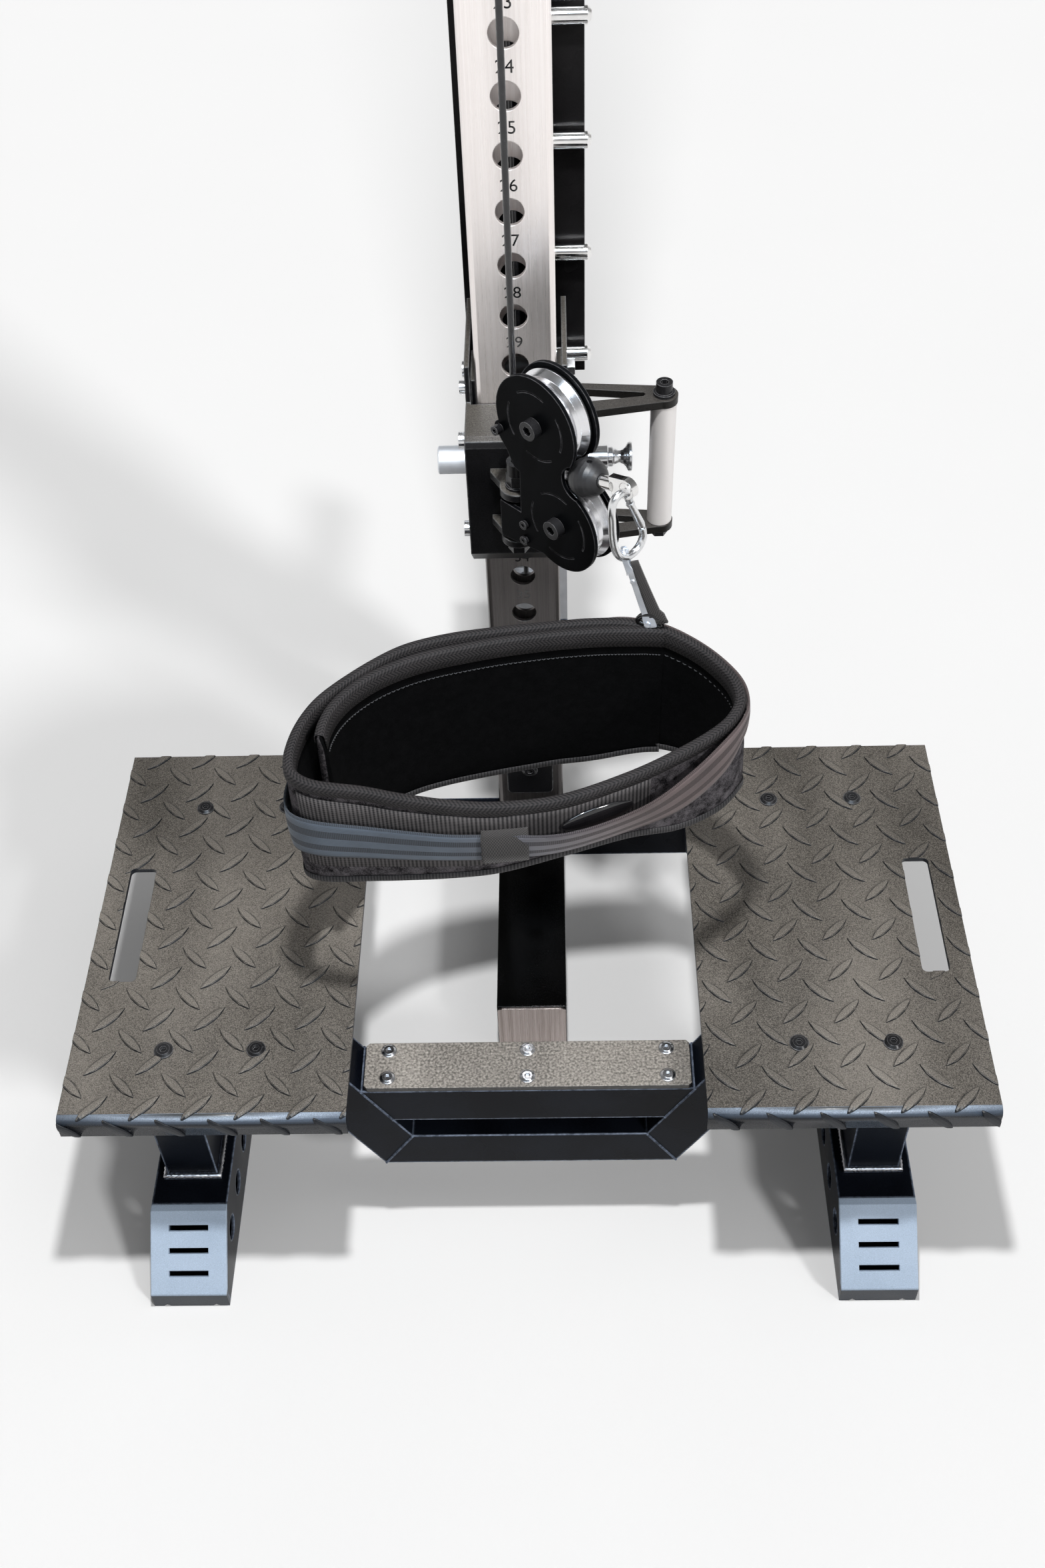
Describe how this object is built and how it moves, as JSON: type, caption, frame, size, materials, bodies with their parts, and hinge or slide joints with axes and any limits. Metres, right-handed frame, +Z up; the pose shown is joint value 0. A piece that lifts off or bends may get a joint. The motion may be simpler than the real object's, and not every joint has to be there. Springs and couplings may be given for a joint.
{
  "type": "belt squat machine",
  "caption": "Belt squat machine: split tread platform, stainless cable column, sliding trolley with twin pulley swivel head, and a hip belt on a hook.",
  "frame": {"origin": "on the floor in the machine's middle plane, under the middle of the base between the foot beams, a little ahead of the column", "axes": "+X to the right in the picture, +Y to the rear, from the front of the feet towards the column, +Z up"},
  "size_m": [0.8636, 1.015, 2.2943],
  "materials": {
    "frame_black": "black powder coat, satin",
    "tread_black": "textured black powder coat",
    "end_grey": "light blue-grey powder coat",
    "stainless": "brushed stainless steel",
    "cap_steel": "brushed stainless steel",
    "black_oxide": "black oxide steel",
    "zinc": "zinc plated steel",
    "polished": "polished aluminium",
    "satin_alu": "satin aluminium",
    "knurled": "knurled steel",
    "roller_black": "hard black plastic",
    "ball_rubber": "black rubber",
    "cable_black": "nylon coated steel cable",
    "chromed": "chrome plated steel",
    "belt_fabric": "black plush and woven binding",
    "webbing": "grey webbing with satin stripes",
    "buckle_black": "shiny black"
  },
  "bodies": {
    "base": {"left_foot_beam": "frame_black", "right_foot_beam": "frame_black", "foot_end_plates": "end_grey", "posts": "frame_black", "floor_cross_tubes": "frame_black", "centre_beam": "frame_black", "beam_end_cap": "cap_steel", "top_drop_tube": "frame_black", "bottom_drop_tube": "frame_black", "side_drop_tubes": "frame_black", "front_bearers": "frame_black", "rear_bearers": "frame_black", "left_tread_plate": "tread_black", "right_tread_plate": "tread_black", "tread_bolts": "black_oxide", "step_plate": "tread_black", "step_bolts": "black_oxide", "column": "stainless", "column_bracket": "tread_black", "bracket_bolt": "black_oxide", "mast": "frame_black", "tower_cover": "frame_black", "storage_pegs": "chromed", "crown_bracket": "tread_black", "crown_axles": "black_oxide", "front_cable": "cable_black", "crown_cable": "cable_black", "return_cable": "cable_black"},
    "crown_front_wheel": {"crown_front_pulley": "polished"},
    "crown_rear_wheel": {"crown_rear_pulley": "polished"},
    "weight_carriage": {"carriage": "satin_alu", "weight_horn": "chromed"},
    "trolley": {"trolley_frame": "tread_black", "trolley_lugs": "tread_black", "pivot_bolt": "black_oxide", "trolley_bolts": "zinc", "handle_arms": "tread_black", "handle_bolt": "black_oxide", "side_stub": "satin_alu", "pin_housing": "zinc"},
    "grip": {"handle_grip": "knurled"},
    "pin": {"pull_pin": "zinc"},
    "roller_uf": {"upper_front_roller": "roller_black"},
    "roller_lf": {"lower_front_roller": "roller_black"},
    "roller_ur": {"upper_rear_roller": "roller_black"},
    "roller_lr": {"lower_rear_roller": "roller_black"},
    "swivel_head": {"head_cheeks": "black_oxide", "swivel_block": "black_oxide", "head_bolts": "black_oxide", "head_cable": "cable_black"},
    "upper_wheel": {"upper_pulley": "polished"},
    "lower_wheel": {"lower_pulley": "polished"},
    "ball_end": {"ball_stop": "ball_rubber", "cable_fork": "chromed"},
    "hook": {"spring_hook": "zinc"},
    "gate": {"hook_gate": "zinc"},
    "link": {"snap_link": "zinc"},
    "hip_belt": {"belt": "belt_fabric", "belt_strap": "webbing", "belt_buckle": "buckle_black"}
  },
  "joints": [
    {"name": "trolley_slide", "type": "slide", "parent": "base", "child": "trolley", "axis": [0, 0, 1], "range_m": [-0.1016, 1.3716], "deforming": ["front_cable"]},
    {"name": "carriage_lift", "type": "slide", "parent": "base", "child": "weight_carriage", "axis": [0, 0, 1], "range_m": [0, 0.26], "deforming": ["return_cable"]},
    {"name": "crown_front_spin", "type": "hinge", "parent": "base", "child": "crown_front_wheel", "pos_m": [0, 0.0895, 2.25], "axis": [1, 0, 0], "continuous": true},
    {"name": "crown_rear_spin", "type": "hinge", "parent": "base", "child": "crown_rear_wheel", "pos_m": [0, 0.2295, 2.25], "axis": [1, 0, 0], "continuous": true},
    {"name": "swivel_turn", "type": "hinge", "parent": "trolley", "child": "swivel_head", "pos_m": [0, 0.048, 0.61], "axis": [0, 0, 1], "range_deg": [-75, 30]},
    {"name": "upper_pulley_spin", "type": "hinge", "parent": "swivel_head", "child": "upper_wheel", "pos_m": [0.02934, 0.01866, 0.736], "axis": [0.7071, 0.7071, 0], "continuous": true},
    {"name": "lower_pulley_spin", "type": "hinge", "parent": "swivel_head", "child": "lower_wheel", "pos_m": [0.04808, -0.00008, 0.642], "axis": [0.7071, 0.7071, 0], "continuous": true},
    {"name": "cable_pull", "type": "slide", "parent": "swivel_head", "child": "ball_end", "axis": [0.6807, -0.6807, 0.2706], "range_m": [0, 0.26]},
    {"name": "hook_swing", "type": "hinge", "parent": "ball_end", "child": "hook", "pos_m": [0.09674, -0.04874, 0.71199], "axis": [0.7071, 0.7071, 0], "range_deg": [-40, 12]},
    {"name": "gate_open", "type": "hinge", "parent": "hook", "child": "gate", "pos_m": [0.10889, -0.03685, 0.661], "axis": [0.7071, -0.7071, 0], "range_deg": [0, 22], "stiffness_Nm_per_rad": 0.05},
    {"name": "link_swing", "type": "hinge", "parent": "hook", "child": "link", "pos_m": [0.09687, -0.04887, 0.639], "axis": [0.7071, 0.7071, 0], "range_deg": [-15, 15]},
    {"name": "belt_swing", "type": "hinge", "parent": "link", "child": "hip_belt", "pos_m": [0.11858, -0.06705, 0.5855], "axis": [0.9511, -0.309, 0], "range_deg": [0, 45]},
    {"name": "grip_spin", "type": "hinge", "parent": "trolley", "child": "grip", "pos_m": [0.1397, 0.153, 0.587], "axis": [0, 0, 1], "continuous": true},
    {"name": "pin_push", "type": "slide", "parent": "trolley", "child": "pin", "axis": [-1, 0, 0], "range_m": [0, 0.016]},
    {"name": "roller_uf_spin", "type": "hinge", "parent": "trolley", "child": "roller_uf", "pos_m": [0, 0.1125, 0.647], "axis": [1, 0, 0], "continuous": true},
    {"name": "roller_lf_spin", "type": "hinge", "parent": "trolley", "child": "roller_lf", "pos_m": [0, 0.1125, 0.541], "axis": [1, 0, 0], "continuous": true},
    {"name": "roller_ur_spin", "type": "hinge", "parent": "trolley", "child": "roller_ur", "pos_m": [0, 0.2295, 0.647], "axis": [1, 0, 0], "continuous": true},
    {"name": "roller_lr_spin", "type": "hinge", "parent": "trolley", "child": "roller_lr", "pos_m": [0, 0.2295, 0.541], "axis": [1, 0, 0], "continuous": true}
  ],
  "couplings": [
    {"joint": "carriage_lift", "follows": "cable_pull", "ratio": 1},
    {"joint": "upper_pulley_spin", "follows": "cable_pull", "rad_per_m": -24.096},
    {"joint": "crown_front_spin", "follows": "cable_pull", "rad_per_m": 24.096},
    {"joint": "crown_rear_spin", "follows": "cable_pull", "rad_per_m": 24.096},
    {"joint": "roller_uf_spin", "follows": "trolley_slide", "rad_per_m": -50},
    {"joint": "roller_lf_spin", "follows": "trolley_slide", "rad_per_m": -50},
    {"joint": "roller_ur_spin", "follows": "trolley_slide", "rad_per_m": 50},
    {"joint": "roller_lr_spin", "follows": "trolley_slide", "rad_per_m": 50}
  ]
}
